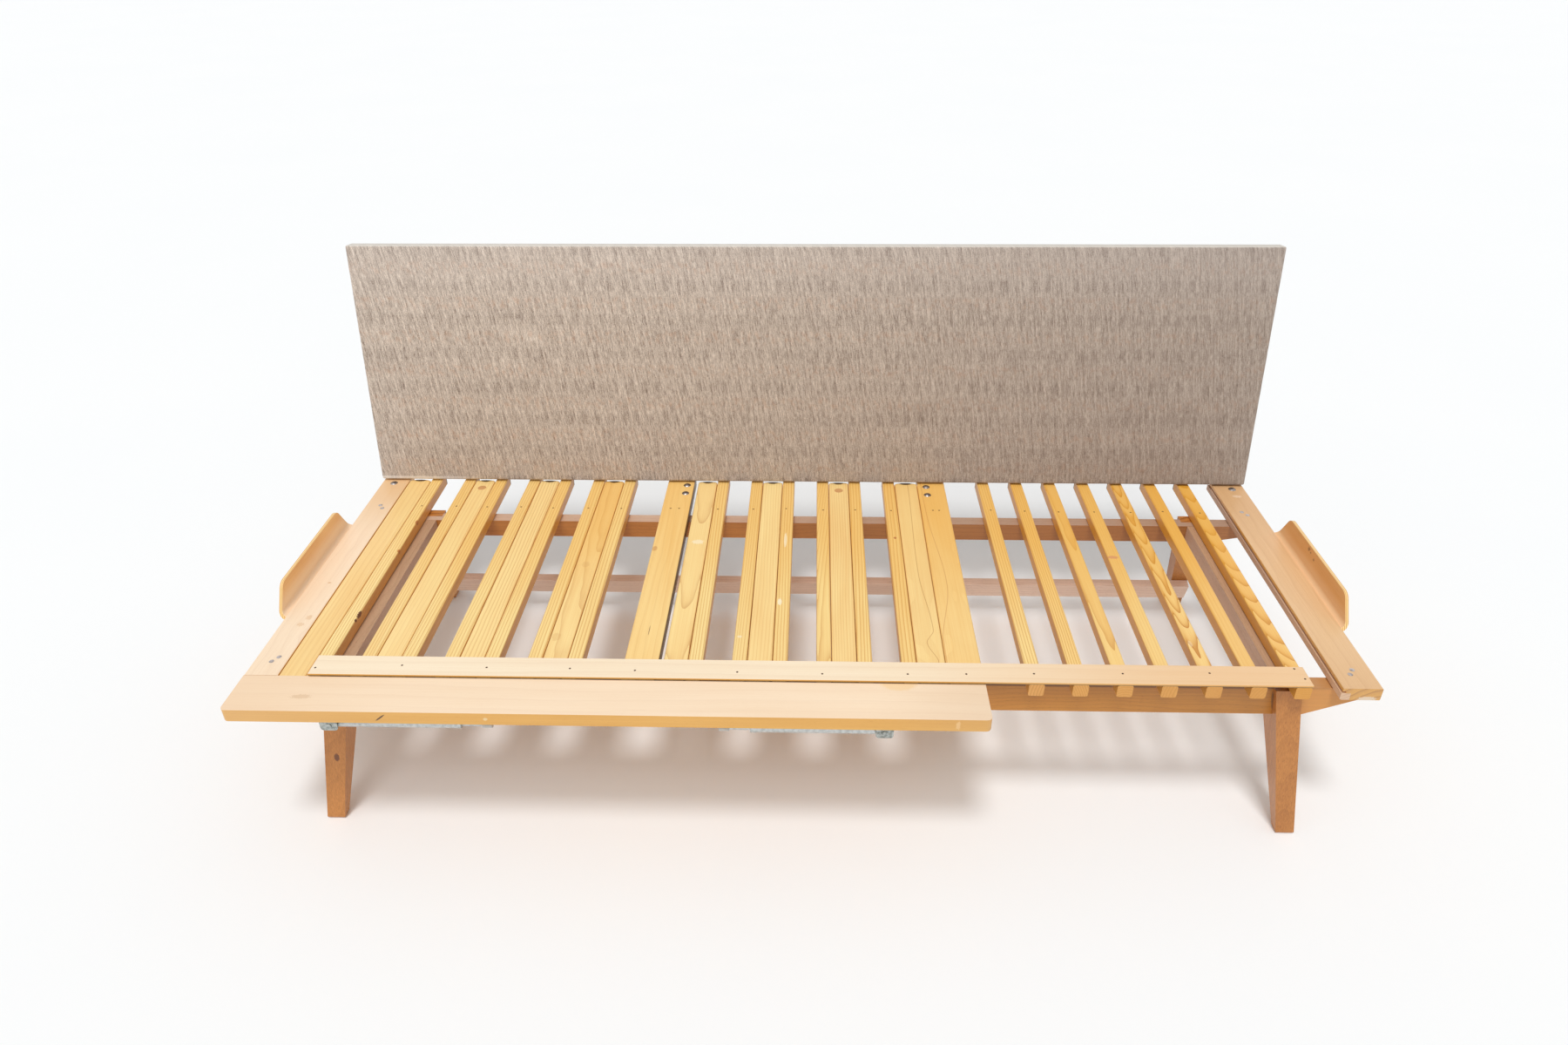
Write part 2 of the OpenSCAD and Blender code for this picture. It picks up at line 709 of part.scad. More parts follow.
module back_board() {
    color("burlywood") placed() on_back() intersection() {
        back_filling();
        translate([-back_w, back_t - cover_t - back_board_t, -back_t])
            cube([2 * back_w, back_t, 2 * back_l]);
    }
}

module back_pad() {
    color("linen") placed() on_back() difference() {
        back_filling();
        translate([-back_w, back_t - cover_t - back_board_t, -back_t])
            cube([2 * back_w, back_t, 2 * back_l]);
    }
}

module back_cover() {
    color("rosybrown") placed() on_back() difference() {
        along_x(-back_w / 2, back_w) polygon(rounded(back_t, back_l, back_round));
        back_filling();
    }
}

// Tenon of a pull-out slat, grown by c for its mortise
module pull_tenon(i, c) {
    x0 = SLOTS[i][0] + pull_side_clear + pull_shoulder;
    w = SLOTS[i][1] - 2 * (pull_side_clear + pull_shoulder);
    translate([x0 - c, -front_board_gap - pull_tenon_l - c, pull_z + (pull_t - pull_tenon_t) / 2 - c])
        cube([w + 2 * c, pull_tenon_l + c + EPS, pull_tenon_t + 2 * c]);
}

module plug_shape(i, c) {
    translate([SLOTS[i][0] + SLOTS[i][1] / 2, plug_y, pull_z + pull_t - plug_t - c])
        cylinder(h = plug_t + 2 * c, d = plug_d + 2 * c);
}

// A wide slat of the comb, tenoned into the front board, with a rounded rear end
module pull_slat(i) {
    w = SLOTS[i][1] - 2 * pull_side_clear;
    y0 = -front_board_gap;
    half_angle = asin(w / 2 / pull_end_r);
    end_c = pull_slat_l - pull_end_r;
    color("goldenrod") placed() difference() {
        union() {
            intersection() {
                translate([SLOTS[i][0] + pull_side_clear, 0, pull_z]) along_y(y0, pull_slat_l - y0)
                    polygon(rounded(w, pull_t, slat_round));
                translate([SLOTS[i][0] + pull_side_clear, 0, pull_z]) linear_extrude(pull_t)
                    polygon(concat(
                        [[0, y0], [w, y0]],
                        arc([w / 2, end_c], pull_end_r, 90 - half_angle, 90 + half_angle)));
            }
            pull_tenon(i, 0);
        }
        if (i == PLUGGED[0] || i == PLUGGED[1]) plug_shape(i, glue_clear);
    }
}

module slat_plugs() { color("chocolate") placed() for (i = PLUGGED) plug_shape(i, 0); }

// The front board, with a mortise for each pull-out slat
module front_board() {
    x0 = front_board_x0;
    x1 = front_board_x1;
    y1 = -front_board_gap;
    y0 = y1 - front_board_d;
    r = front_corner;
    color("bisque") placed() difference() {
        translate([0, 0, board_z]) linear_extrude(board_t) polygon(concat(
            arc([x0 + r, y0 + r], r, 180, 270), arc([x1 - r, y0 + r], r, 270, 360),
            [[x1, y1], [x0, y1]]));
        for (i = [0:len(SLOTS) - 1]) pull_tenon(i, glue_clear);
    }
}

// Sheet steel hinge bracket: a plate under the board with two cheeks round the tube
module leg_hinges() {
    inner = tube_d / 2 + hinge_gap;
    color("silver") placed() difference() {
        for (x = PIVOTS) translate([x - hinge_w / 2, pivot_yc, 0]) {
            translate([0, -inner - hinge_t, board_z - hinge_t])
                cube([hinge_w, 2 * (inner + hinge_t), hinge_t]);
            for (y = [-inner - hinge_t, inner]) along_y(y, hinge_t) polygon(concat(
                [[0, board_z - hinge_t]],
                arc([pin_d, board_z - hinge_drop + pin_d], pin_d, 180, 270),
                arc([hinge_w - pin_d, board_z - hinge_drop + pin_d], pin_d, 270, 360),
                [[hinge_w, board_z - hinge_t]]));
        }
        for (x = PIVOTS) translate([x, pivot_yc, pivot_z]) rotate([90, 0, 0])
            cylinder(h = 4 * inner, d = pin_d, center = true);
    }
}

// Rivets that the tubes turn on, with a head outside each cheek
module hinge_pins() {
    inner = tube_d / 2 + hinge_gap + hinge_t;
    color("gray") placed() for (x = PIVOTS) translate([x, pivot_yc, pivot_z]) rotate([90, 0, 0]) {
        cylinder(h = 2 * inner, d = pin_d, center = true);
        for (s = [-1, 1]) translate([0, 0, s * (inner + pin_head_t / 2)])
            cylinder(h = pin_head_t, d = pin_head_d, center = true);
    }
}

// Places a leg drawn along +Z from its pivot, folded up along the board to side s
module on_pivot(x, s) {
    placed() translate([x, pivot_yc, pivot_z]) rotate([0, s * 90, 0]) children();
}

// Steel tube with a collar pressed on its end
module leg_tube() {
    difference() {
        union() {
            translate([0, 0, -tube_back]) cylinder(h = tube_back + tube_l, d = tube_d);
            translate([0, 0, tube_l - collar_l]) cylinder(h = collar_l, d = collar_d);
        }
        translate([0, 0, -tube_back - 1])
            cylinder(h = tube_back + tube_l - collar_l + 1, d = tube_d - 2 * tube_wall);
        translate([0, 0, tube_l - collar_l - 1]) cylinder(h = collar_l + 2, d = rod_d + 2 * glue_clear);
        rotate([90, 0, 0]) cylinder(h = 2 * tube_d, d = pin_d + 2 * pin_clear, center = true);
    }
}

// Adjusting rod, grown by c for the bore in its tip
module leg_rod(c) {
    z0 = tube_l - collar_l - rod_in_tube;
    translate([0, 0, z0]) cylinder(h = leg_reach - tip_l + rod_in_tip + c - z0, d = rod_d + 2 * c);
}

module fold_leg(x, s) {
    color("silver") on_pivot(x, s) {
        leg_tube();
        leg_rod(0);
    }
}
module left_fold_leg() { fold_leg(PIVOTS[0], 1); }
module right_fold_leg() { fold_leg(PIVOTS[1], -1); }

// Rubber tip that takes the rod's end and meets the floor
module leg_foot(x, s) {
    color("dimgray") on_pivot(x, s) difference() {
        translate([0, 0, leg_reach - tip_l]) cylinder(h = tip_l, d = tip_d);
        leg_rod(glue_clear);
    }
}
module left_leg_foot() { leg_foot(PIVOTS[0], 1); }
module right_leg_foot() { leg_foot(PIVOTS[1], -1); }

front_rail();
rear_rail();
left_cross_rail();
right_cross_rail();
left_front_leg();
right_front_leg();
left_rear_leg();
right_rear_leg();
rear_stretcher();
for (i = [0:len(SLAT_X) - 1]) fixed_slat(i);
left_support_board();
right_support_board();
left_side_board();
right_side_board();
right_board_tongue();
slat_end_strip();
left_side_lip();
right_side_lip();
side_board_screws();
carriage_bolts();
back_brackets();
back_board();
back_pad();
back_cover();
for (i = [0:len(SLOTS) - 1]) pull_slat(i);
slat_plugs();
front_board();
leg_hinges();
hinge_pins();
left_fold_leg();
right_fold_leg();
left_leg_foot();
right_leg_foot();
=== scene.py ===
"""Looks of a slatted sofa-bed base: its woods, zinc steel and cloth-covered back, in metres."""

import math
import random

import bpy
from mathutils import Matrix, Vector, noise


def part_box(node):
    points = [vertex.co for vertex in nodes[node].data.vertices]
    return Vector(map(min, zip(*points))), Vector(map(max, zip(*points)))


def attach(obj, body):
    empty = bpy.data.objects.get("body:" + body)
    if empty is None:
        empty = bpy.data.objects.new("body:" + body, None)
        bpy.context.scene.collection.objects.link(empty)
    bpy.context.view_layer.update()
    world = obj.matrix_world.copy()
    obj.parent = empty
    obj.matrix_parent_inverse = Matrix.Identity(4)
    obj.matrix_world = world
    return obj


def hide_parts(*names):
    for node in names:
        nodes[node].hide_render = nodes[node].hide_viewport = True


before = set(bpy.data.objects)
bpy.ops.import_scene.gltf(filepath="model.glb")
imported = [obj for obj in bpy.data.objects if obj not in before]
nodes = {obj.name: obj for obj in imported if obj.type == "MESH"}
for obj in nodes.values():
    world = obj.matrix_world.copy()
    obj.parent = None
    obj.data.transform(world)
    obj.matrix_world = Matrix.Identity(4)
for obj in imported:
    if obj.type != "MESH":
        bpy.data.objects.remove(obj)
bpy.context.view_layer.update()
random.seed(7)

# The view. A wide lens stands high in front of the slats' ends and looks down on the deck. It is
# turned aside, dipped and tilted by angles in radians.
slat_ends_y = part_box("fixed_slat_01")[0].y
deck_top_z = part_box("fixed_slat_01")[1].z
eye = Vector((0.0099, slat_ends_y - 1.3587, 1.4474))
turn, dip, tilt = -0.0320, 0.5488, -0.0083
focal_pixels, frame_width, sensor_width = 1208.6, 1800, 36
ahead = Vector((math.sin(turn) * math.cos(dip), math.cos(turn) * math.cos(dip), -math.sin(dip)))
level = Vector((math.cos(turn), -math.sin(turn), 0))
above = level.cross(ahead)
across = level * math.cos(tilt) + above * math.sin(tilt)
upward = above * math.cos(tilt) - level * math.sin(tilt)
camera = bpy.data.objects.new("camera", bpy.data.cameras.new("camera"))
camera.data.sensor_width = sensor_width
camera.data.lens = focal_pixels * sensor_width / frame_width
facing = Matrix((across, upward, -ahead)).transposed().to_4x4()
camera.matrix_world = Matrix.Translation(eye) @ facing
bpy.context.scene.collection.objects.link(camera)
bpy.context.scene.camera = camera


# Rails and legs. Beech, stained orange-brown and varnished on the faces that show from the
# front, and left raw on the rails' tops and backs. The legs are halved into the rails.


class Socket:
    """A value in a shader. Arithmetic on it adds Math nodes, and node() adds any other node."""

    def __init__(self, tree, port):
        self.tree = tree
        self.port = port

    def node(self, kind, inputs, output=0, stops=(), **settings):
        """Adds a node of a kind, with its settings, a ramp's stops and its inputs."""
        made = self.tree.nodes.new("ShaderNode" + kind)
        for name, value in settings.items():
            setattr(made, name, value)
        if stops:
            ramp = made.color_ramp
            ramp.interpolation = "CARDINAL"
            while len(ramp.elements) < len(stops):
                ramp.elements.new(1)
            for index, (position, color) in enumerate(stops):
                ramp.elements[index].position = position
                ramp.elements[index].color = color
        for key, value in inputs.items():
            if isinstance(value, Socket):
                self.tree.links.new(value.port, made.inputs[key])
            else:
                made.inputs[key].default_value = value
        return Socket(self.tree, made.outputs[output])

    def out(self, name):
        return Socket(self.tree, self.port.node.outputs[name])

    def math(self, operation, *others):
        """A Math node on this value, and on others where the operation takes more than one."""
        return self.node("Math", dict(enumerate((self, *others))), operation=operation)

    def __add__(self, other):
        return self.math("ADD", other)

    __radd__ = __add__

    def __sub__(self, other):
        return self.math("SUBTRACT", other)

    def __rsub__(self, other):
        return self.node("Math", {0: other, 1: self}, operation="SUBTRACT")

    def __mul__(self, other):
        return self.math("MULTIPLY", other)

    __rmul__ = __mul__

    def __truediv__(self, other):
        return self.math("DIVIDE", other)

    def __pow__(self, other):
        return self.math("POWER", other)

    def clamped(self):
        return self.node("Clamp", {0: self})

    def split(self):
        """X, Y and Z of a place or a direction, which out() then picks."""
        return self.node("SeparateXYZ", {0: self})

    def ramp(self, low, high):
        """Nought below low, one above high, and smooth between."""
        return self.node("MapRange", {0: self, 1: low, 2: high}, interpolation_type="SMOOTHSTEP")

    def noise(self, sizes, detail=2.0, shift=0.0):
        """Noise on a place, with blotches about as large as sizes along X, Y and Z."""
        scale = tuple(1 / size for size in sizes)
        place = self.node("Mapping", {"Vector": self, "Location": (shift,) * 3, "Scale": scale})
        return place.node("TexNoise", {"Vector": place, "Scale": 1.0, "Detail": detail})

    def spot(self, centre, radii, ragged=0.0, turned=(0, 0, 0)):
        """One inside an ellipsoid round centre, nought outside, with a soft or ragged rim."""
        local = self.node("Mapping", {"Vector": self, "Location": centre, "Rotation": turned,
                                      "Scale": radii}, vector_type="TEXTURE")
        reach = local.node("VectorMath", {0: local}, output=1, operation="LENGTH")
        if ragged:
            reach = reach + (self.noise((min(radii) * 0.6,) * 3) - 0.5) * (2 * ragged)
        return 1 - reach.ramp(0.7, 1.0)


def blend(factor, first, second):
    """Colour first where factor is nought, second where it is one."""
    return factor.node("Mix", {0: factor, 6: first, 7: second}, output=2, data_type="RGBA")


def seen(red, green, blue):
    """A colour as it looks in even light, 0 to 255, as linear light."""
    light = [c / 255 for c in (red, green, blue)]
    linear = [c / 12.92 if c < 0.04045 else ((c + 0.055) / 1.055) ** 2.4 for c in light]
    return (*linear, 1.0)


def finish(name):
    """A new material, its shader, and the place on the piece in metres."""
    material = bpy.data.materials.new(name)
    material.use_nodes = True
    tree = material.node_tree
    shader = tree.nodes["Principled BSDF"]
    return material, shader, Socket(tree, tree.nodes.new("ShaderNodeTexCoord").outputs["Object"])


def feed(shader, key, value):
    """Links a value to one of the shader's sockets."""
    value.tree.links.new(value.port, shader.inputs[key])


def emboss(shader, height, strength, distance):
    """Shows a height as relief on the surface."""
    relief = {"Strength": strength, "Distance": distance, "Height": height}
    feed(shader, "Normal", height.node("Bump", relief))


def timber(node, pale, dark, ring, heart, line, along="Y", lean=(0.0, 0.0), sway=0.010,
           sharp=5.0, tone=0.0, streak=0.30, mottle=0.25, fleck=0.0, rough=0.45, coat=0.2,
           face=None, other=None, knots=(), marks=()):
    """One piece of wood. Growth rings as wide as ring lie round the tree's heart, which runs along
    the piece at heart from its middle and leans by lean, and sway bends them. Their late wood is
    a line, as strong as line says and thinner the higher sharp is. Tone darkens the whole, and
    streak, mottle and fleck are its fibres, clouds and pores. Face is the side that has this
    finish, such as ("Z", 1), and other is the pale and dark colour of the rest. Knots push the
    rings aside, and marks are laid over all."""
    material, shader, place = finish(node)
    low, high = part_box(node)
    middle = {"X": (low.x + high.x) / 2, "Y": (low.y + high.y) / 2, "Z": (low.z + high.z) / 2}
    side, rise = [axis for axis in "XYZ" if axis != along]
    split = place.split()
    length = split.out(along) - middle[along]

    def sized(long, wide):
        return tuple(long if axis == along else wide for axis in "XYZ")

    slow, quick = sized(0.5, 0.16), sized(0.14, 0.05)
    fibre, blotch, pore = sized(0.26, 0.0016), sized(0.30, 0.05), sized(0.009, 0.0011)
    drift = place.noise(slow, 1.0, shift=middle["X"] * 9) - 0.5
    lurch = place.noise(quick, 2.0, shift=4 + middle["X"] * 5) - 0.5
    out_side = split.out(side) - (middle[side] + heart[0]) - length * lean[0] + drift * sway * 2
    out_rise = split.out(rise) - (middle[rise] + heart[1]) - length * lean[1] + lurch * sway
    radius = (out_side * out_side + out_rise * out_rise) ** 0.5
    dark_spots = 0.0
    for centre, size in knots:
        radius = radius + place.spot(centre, size, 0.15) * (max(size) * 0.8)
        core = [reach * 0.45 for reach in size]
        dark_spots = place.spot(centre, core, 0.2) * 0.7 + dark_spots
    years = place.node("CombineXYZ", {0: radius * (0.12 / ring), 1: middle["X"] * 3})
    phase = radius / ring + years.node("TexNoise", {"Vector": years, "Scale": 1.0}) * 2
    phase = phase.math("FRACT")
    late = phase ** sharp
    fibres = place.noise(fibre, 3.0) - 0.5
    cloud = place.noise(blotch, 2.0, shift=7.0) - 0.5
    depth = phase * phase * (line * 0.35) + fibres * streak * 2 + cloud * mottle * 2
    depth = depth + (0.25 + tone) + dark_spots
    if fleck:
        depth = depth + place.noise(pore, 1.0).ramp(0.60, 0.75) * fleck
    depth = depth.clamped()
    late_wood = (dark[0] * 0.66, dark[1] * 0.54, dark[2] * 0.5, 1.0)
    color = blend((late * line).clamped(), blend(depth, pale, dark), late_wood)
    normal = place.out("Normal").split()
    if face:
        axis, sign = face
        color = blend((normal.out(axis) * sign).ramp(0.3, 0.7), blend(depth, *other), color)
    ends = normal.out(along).math("ABSOLUTE").ramp(0.7, 0.9)
    color = blend(ends * (late * 0.75 + phase * 0.15 + 0.05), color, late_wood)
    for mask, tint in marks:
        color = blend(mask(place), color, tint)
    feed(shader, "Base Color", color)
    feed(shader, "Roughness", cloud * 0.2 + rough)
    emboss(shader, fibres + late * 0.4, 0.25, 0.0004)
    shader.inputs["Coat Weight"].default_value = coat
    shader.inputs["Coat Roughness"].default_value = 0.22
    return material


def dress(node, material, edge=0.0008):
    """Gives a node its material and takes the sharpness off its edges."""
    same_place, sharp_edge = 1e-5, math.radians(35)
    piece = nodes[node]
    piece.data.materials.clear()
    piece.data.materials.append(material)
    weld = piece.modifiers.new("weld", "WELD")
    weld.merge_threshold = same_place
    worn = piece.modifiers.new("worn_edges", "BEVEL")
    worn.width = edge
    worn.segments = 2
    worn.limit_method = "ANGLE"
    worn.angle_limit = sharp_edge
    worn.harden_normals = True


def fade(axis, start, end, tint, strength=1.0, least=0.0):
    """A tint that grows along an axis from least at start to strength at end, in metres."""
    def mask(place):
        grown = place.split().out(axis).ramp(start, end)
        return grown * (strength - least) + least
    return mask, tint


def patch(centre, radii, tint, strength=1.0, ragged=0.0, turned=(0, 0, 0)):
    """A tint inside an ellipsoid, whose rim is soft or ragged."""
    return lambda place: place.spot(centre, radii, ragged, turned) * strength, tint


stain = (seen(207, 138, 66), seen(150, 86, 30))
rail_stain = (seen(215, 145, 54), seen(157, 92, 24))
raw_beech = (seen(222, 192, 168), seen(172, 134, 110))
rail_wood = dict(along="X", ring=0.006, heart=(-0.2, -0.16), sway=0.02, line=0.2, fleck=0.35,
                 face=("Y", -1), other=raw_beech)
rail_low, rail_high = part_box("front_rail")
# Painted shade: a thin dark streak on the rail's face beside the right front leg's top.
leg_side_shade = patch((0.793, rail_low.y, rail_high.z - 0.032), (0.003, 0.006, 0.026),
                   seen(84, 66, 58), 0.6, 0.4, (0, -0.23, 0))
dress("front_rail", timber("front_rail", *rail_stain, **rail_wood, marks=[
    # Painted shade: the face darkens towards its top, most in a thin band right under the strip.
    fade("Z", rail_low.z + 0.015, rail_high.z, seen(136, 88, 50), 0.25),
    fade("Z", rail_high.z - 0.005, rail_high.z - 0.002, seen(76, 46, 24), 0.7),
    fade("X", 0.40, 0.75, seen(140, 92, 48), 0.2), leg_side_shade,
    # Painted light: the rail's right end is brighter orange.
    fade("X", 0.80, 0.86, seen(236, 168, 92), 0.5)]))
dress("rear_rail", timber("rear_rail", *stain, **rail_wood, tone=0.1,
                          marks=[fade("X", -0.3, 0.2, seen(120, 84, 62), 0.35)]))
for side in ("left", "right"):
    for end in ("front", "rear"):
        leg = f"{side}_{end}_leg"
        knots, marks = (), ()
        if leg == "left_front_leg":
            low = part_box(leg)[0]
            knot_place = (low.x + 0.036, low.y + 0.03, 0.127)
            knots = [(knot_place, (0.012, 0.06, 0.022))]
            marks = [patch(knot_place, (0.0055, 0.06, 0.008), seen(104, 58, 28), 0.75, 0.5)]
        dress(leg, timber(leg, *stain, along="Z", ring=0.012, heart=(0.03, -0.2), sway=0.02,
                          line=0.12, tone=0.1 if side == "right" else 0.0, streak=0.5, fleck=0.35,
                          rough=0.4, coat=0.3, knots=knots, marks=marks))


# Cross rails, rear stretcher and the strip under the right board. The same beech with no stain or
# varnish, pinkish and dry, with the cross rails' tops painted browner, as painted shade under the
# deck. The cross rails are stub-tenoned into the long rails, the stretcher is nailed to the legs,
# and the strip is let into a rebate below the board's edge.
def toward_rear(start, end, tint, strength=1.0, least=0.0):
    """A tint that grows along the deck, from start to end behind the slats' front ends."""
    return fade("Y", slat_ends_y + start, slat_ends_y + end, tint, strength, least)


raw_wood = dict(ring=0.006, sway=0.02, line=0.15, fleck=0.4, rough=0.6, coat=0.0)
shaded_rail_tops = (seen(200, 164, 130), seen(156, 114, 84))
for node in ("left_cross_rail", "right_cross_rail"):
    dress(node, timber(node, *shaded_rail_tops, heart=(0.12, -0.2), face=("Z", 1), other=raw_beech,
                       **raw_wood))
# Painted light: the strip under the right board grows paler towards its front.
strip_front_lit = toward_rear(0.45, 0.05, seen(240, 200, 160), 0.55)
dress("right_board_tongue", timber("right_board_tongue", *raw_beech, heart=(0.12, -0.2),
                                   marks=[strip_front_lit], **raw_wood))
# Painted light: the stretcher has paler colours than the other raw beech, to lift the shade under
# the deck where it stands.
dress("rear_stretcher", timber("rear_stretcher", seen(250, 222, 202), seen(204, 166, 146),
                               along="X", heart=(-0.1, -0.2), **raw_wood))


# Fixed slats and support boards. Pine under varnish that has gone yellow, with rounded long edges,
# and with painted shade towards the rear, where the back panel shades them. They are sawn
# from different logs, so most show straight lines, and a few show the loops of a flat cut.
fixed_slats = 20
# Painted shade: the slats' sides are darker and more orange than their tops.
shaded_pine_sides = (seen(230, 170, 96), seen(188, 122, 54))
pine = dict(pale=seen(255, 231, 160), dark=seen(234, 172, 82), face=("Z", 1), other=shaded_pine_sides)
panel_shade_orange = seen(238, 168, 38)
# Painted shade from the back panel: how strongly each slat's top is darkened to orange,
# near its front end and near its rear end.
rear_shading = {1: (0, 0.2), 2: (0, 0.2), 3: (0, 0.35), 4: (0, 0.15), 5: (0, 0.3), 6: (0.05, 0.35),
             7: (0, 0.2), 8: (0, 0.3), 9: (0, 0.3), 10: (0.1, 0.3), 11: (0.05, 0.35),
             12: (0.1, 0.4), 13: (0.2, 0.4), 14: (0.1, 0.5), 15: (0.2, 0.6), 16: (0.2, 0.6),
             17: (0.2, 0.6), 18: (0.2, 0.6), 19: (0.25, 0.7), 20: (0.4, 0.7)}
# The slats that differ from the rest. Those whose heart leans show loops.
figures = {
    2: dict(tone=0.05), 4: dict(line=0.6), 7: dict(tone=-0.05),
    11: dict(heart=(0.030, -0.030), lean=(0.10, 0.02), ring=0.0045, line=0.5),
    15: dict(line=0.9, ring=0.0042),
    16: dict(heart=(0.003, -0.020), lean=(0.0, 0.018), ring=0.0050, line=0.6, sharp=8.0),
    17: dict(tone=0.05, line=0.25), 19: dict(tone=0.20, line=0.2),
    18: dict(heart=(-0.001, -0.024), lean=(0.0, 0.031), ring=0.0021, sway=0.005, line=1.3,
             tone=0.0),
    20: dict(heart=(0.005, -0.050), lean=(-0.02, 0.062), ring=0.0036, sway=0.006, line=1.2,
             tone=0.10),
}


def on_deck(x, reach, radii, tint, strength=1.0, ragged=0.3):
    """A mark on the deck's top, at a place from its middle and from the slats' front ends."""
    return patch((x, slat_ends_y + reach, deck_top_z), radii, tint, strength, ragged)


def contour(points, tint, strength, width=0.0011):
    """One thin line of late wood, which wanders along the deck through points."""
    points = sorted(points, key=lambda point: point[1])
    low = [min(values) for values in zip(*points)]
    span = [max(values) - least for values, least in zip(zip(*points), low)]
    stops = [((y - low[1]) / span[1], ((x - low[0]) / span[0],) * 3 + (1,)) for x, y in points]

    def mask(place):
        split = place.split()
        along = (split.out("Y") - (slat_ends_y + low[1])) / span[1]
        line_x = along.node("ValToRGB", {0: along}, stops=stops) * span[0] + low[0]
        away = (split.out("X") - line_x).math("ABSOLUTE")
        return (1 - away.ramp(width * 0.3, width)) * strength
    return mask, tint


bark, resin = seen(112, 66, 36), seen(196, 124, 62)
# The second colour here is for painted shade and shadow, in gaps, under edges and under the back
# panel.
scraped, shade_brown = seen(255, 240, 204), seen(76, 46, 24)
slats_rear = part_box("fixed_slat_01")[1].y
# Painted shadow: the tops of the slats and boards are dark at their rear ends, under the back
# panel's edge.
panel_edge_shade = fade("Y", slats_rear - 0.0055, slats_rear - 0.0035, shade_brown, 0.85)
slat_marks = {
    1: [on_deck(-0.8185, 0.500, (0.0030, 0.008, 0.010), resin),
        on_deck(-0.8185, 0.389, (0.0030, 0.006, 0.010), resin),
        on_deck(-0.8175, 0.176, (0.0045, 0.012, 0.008), bark, ragged=0.5),
        on_deck(-0.8180, 0.158, (0.0030, 0.005, 0.006), bark, ragged=0.5)],
    9: [on_deck(-0.1177, 0.121, (0.0050, 0.004, 0.006), scraped, 0.6)],
    10: [on_deck(-0.0450, 0.441, (0.0035, 0.030, 0.006), scraped, 0.7),
         on_deck(-0.0500, 0.227, (0.0045, 0.012, 0.006), scraped, 0.9)],
    13: [on_deck(0.1773, 0.4527, (0.0035, 0.0045, 0.004), resin)],
    17: [on_deck(0.6000, 0.388, (0.0120, 0.0060, 0.010), seen(222, 150, 104), 0.8)],
    18: [on_deck(0.6690, 0.115, (0.0040, 0.0100, 0.010), scraped, 0.3)],
}
for count in range(1, fixed_slats + 1):
    node = f"fixed_slat_{count:02d}"
    figure = dict(heart=(random.choice((-1, 1)) * random.uniform(0.06, 0.14),
                         random.uniform(-0.05, -0.02)), lean=(random.uniform(-0.02, 0.02), 0.0),
                  line=random.uniform(0.5, 0.8), tone=random.uniform(-0.10, 0.0), ring=0.0052,
                  sway=0.005)
    figure.update(figures.get(count, {}))
    least, most = rear_shading[count]
    dress(node, timber(node, **pine, **figure, marks=[
        toward_rear(0.10, 0.50, panel_shade_orange, most, least),
        *slat_marks.get(count, []), panel_edge_shade]))
board_pine = (seen(255, 223, 152), seen(236, 178, 92))
left_board_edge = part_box("left_support_board")[1].x
dress("left_support_board", timber(
    "left_support_board", *board_pine, ring=0.009, sway=0.012, heart=(0.09, -0.09), line=0.15,
    mottle=0.35, marks=[toward_rear(0.2, 0.6, panel_shade_orange, 0.3),
                        on_deck(-0.306, 0.405, (0.006, 0.010, 0.01), resin, 0.5),
                        on_deck(-0.280, 0.136, (0.0008, 0.016, 0.01), bark, 0.8), panel_edge_shade,
                        # Painted shade: a thin dark line along the board's right edge, in the gap
                        # beside it.
                        fade("X", left_board_edge - 0.0014, left_board_edge - 0.0004, shade_brown,
                             0.85)]))
right_contour = [(0.247, 0.620), (0.253, 0.475), (0.265, 0.314), (0.258, 0.222), (0.241, 0.126)]
dress("right_support_board", timber(
    "right_support_board", *board_pine, ring=0.03, sway=0.03, heart=(0.0, -0.10),
    lean=(0.02, 0.02), line=0.08, mottle=0.3, marks=[
        toward_rear(0.1, 0.6, panel_shade_orange, 0.5, 0.05),
        contour(right_contour, resin, 0.45), panel_edge_shade]))


# Side boards. Beech with a satin varnish, the left one paler than the right. Each is held by two
# pairs of countersunk screws, and glue has run out below the right one's front end.
pale_beech = (seen(255, 233, 204), seen(232, 194, 152))
warm_beech = (seen(240, 202, 154), seen(202, 150, 98))
beech_edge = (seen(244, 190, 102), seen(190, 120, 38))
beech_board = dict(ring=0.012, sway=0.02, heart=(0.1, -0.15), line=0.1, streak=0.22, mottle=0.2,
                   fleck=0.12, face=("Z", 1), other=beech_edge)
board_knot = seen(216, 166, 104)
dress("left_side_board", timber("left_side_board", *pale_beech, **beech_board, marks=[
    toward_rear(0.40, 0.66, seen(232, 186, 130), 0.8),
    on_deck(-0.906, 0.163, (0.006, 0.008, 0.004), board_knot, 0.4, 0.7),
    on_deck(-0.913, 0.142, (0.008, 0.006, 0.004), board_knot, 0.35, 0.7),
    on_deck(-0.913, 0.274, (0.004, 0.003, 0.004), board_knot, 0.6)]))
right_board_low, right_board_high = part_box("right_side_board")
glue = patch((right_board_high.x - 0.022, right_board_low.y, right_board_low.z + 0.003),
             (0.017, 0.004, 0.005), seen(238, 222, 200), ragged=0.5)
even_board = {**beech_board, "mottle": 0.1}
dress("right_side_board", timber("right_side_board", *warm_beech, **even_board, marks=[
    glue,
    toward_rear(0.35, 0.60, seen(204, 150, 94), 0.4),
    toward_rear(0.16, -0.02, seen(206, 156, 104), 0.3),
    on_deck(0.923, 0.632, (0.011, 0.006, 0.004), seen(250, 224, 196), 0.45, 0.9)]))


